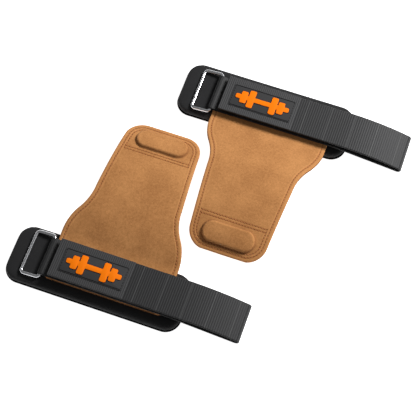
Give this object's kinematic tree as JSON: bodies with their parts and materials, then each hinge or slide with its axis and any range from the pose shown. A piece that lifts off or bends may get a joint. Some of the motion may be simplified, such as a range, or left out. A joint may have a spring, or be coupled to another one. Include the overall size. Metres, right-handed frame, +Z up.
{
  "type": "hand grips",
  "caption": "Pair of leather palm grips on padded wrist bands, each with a hook-and-loop webbing strap, a wire ring and a padded finger end.",
  "frame": {"origin": "middle of the pair's footprint, on the surface that it lies on", "axes": "+X along both straps from ring to fold, +Y from the left grip's strap to its fingertips, +Z up"},
  "size_m": [0.3208, 0.2752, 0.0228],
  "materials": {
    "neoprene": "matt knit over foam rubber",
    "foam": "closed-cell foam",
    "leather": "tan suede",
    "tan_thread": "bonded thread",
    "webbing": "ribbed webbing",
    "tip_weave": "coarse herringbone webbing",
    "hook_tape": "hook tape",
    "loop_tape": "loop tape",
    "chrome_wire": "polished plating",
    "patch_rubber": "smooth soft rubber",
    "black_thread": "bonded thread",
    "orange_print": "raised print"
  },
  "bodies": {
    "left_wrist": {"left_wrist_lining": "neoprene", "left_wrist_core": "foam", "left_wrist_cover": "neoprene", "left_anchor_back": "leather", "left_anchor_face": "leather", "left_ring_tab": "webbing", "left_strap_lower": "webbing", "left_strap_fold": "webbing", "left_hook_tape": "hook_tape"},
    "left_ring": {"left_ring": "chrome_wire"},
    "left_palm": {"left_palm_back": "leather", "left_palm_face": "leather", "left_pad_insert": "foam", "left_edge_stitching": "tan_thread", "left_pad_stitching": "tan_thread"},
    "left_strap_end": {"left_strap_upper": "webbing", "left_loop_tape": "loop_tape", "left_tip_reinforcement": "tip_weave", "left_patch": "patch_rubber", "left_patch_stitching": "black_thread", "left_emblem": "orange_print"},
    "right_wrist": {"right_wrist_lining": "neoprene", "right_wrist_core": "foam", "right_wrist_cover": "neoprene", "right_anchor_back": "leather", "right_anchor_face": "leather", "right_ring_tab": "webbing", "right_strap_lower": "webbing", "right_strap_fold": "webbing", "right_hook_tape": "hook_tape"},
    "right_ring": {"right_ring": "chrome_wire"},
    "right_palm": {"right_palm_back": "leather", "right_palm_face": "leather", "right_pad_insert": "foam", "right_edge_stitching": "tan_thread", "right_pad_stitching": "tan_thread"},
    "right_strap_end": {"right_strap_upper": "webbing", "right_loop_tape": "loop_tape", "right_tip_reinforcement": "tip_weave", "right_patch": "patch_rubber", "right_patch_stitching": "black_thread", "right_emblem": "orange_print"}
  },
  "joints": [
    {"name": "left_palm_fold", "type": "hinge", "parent": "left_wrist", "child": "left_palm", "pos_m": [-0.0634, -0.0818, 0.009], "axis": [1, 0, 0], "range_deg": [0, 70]},
    {"name": "left_ring_swing", "type": "hinge", "parent": "left_wrist", "child": "left_ring", "pos_m": [-0.1247, -0.1073, 0.0114], "axis": [0, 1, 0], "range_deg": [0, 140]},
    {"name": "left_strap_open", "type": "hinge", "parent": "left_wrist", "child": "left_strap_end", "pos_m": [0.0658, -0.1073, 0.0051], "axis": [0, 1, 0], "range_deg": [0, 150], "deforming": ["left_strap_fold"]},
    {"name": "right_palm_fold", "type": "hinge", "parent": "right_wrist", "child": "right_palm", "pos_m": [0.0276, 0.0818, 0.009], "axis": [-1, 0, 0], "range_deg": [0, 70]},
    {"name": "right_ring_swing", "type": "hinge", "parent": "right_wrist", "child": "right_ring", "pos_m": [-0.0337, 0.1073, 0.0114], "axis": [0, 1, 0], "range_deg": [0, 140]},
    {"name": "right_strap_open", "type": "hinge", "parent": "right_wrist", "child": "right_strap_end", "pos_m": [0.1568, 0.1073, 0.0051], "axis": [0, 1, 0], "range_deg": [0, 150], "deforming": ["right_strap_fold"]},
    {"name": "right_grip_lift", "type": "slide", "parent": "left_wrist", "child": "right_wrist", "axis": [0, 0, 1], "range_m": [0, 0.1]}
  ]
}
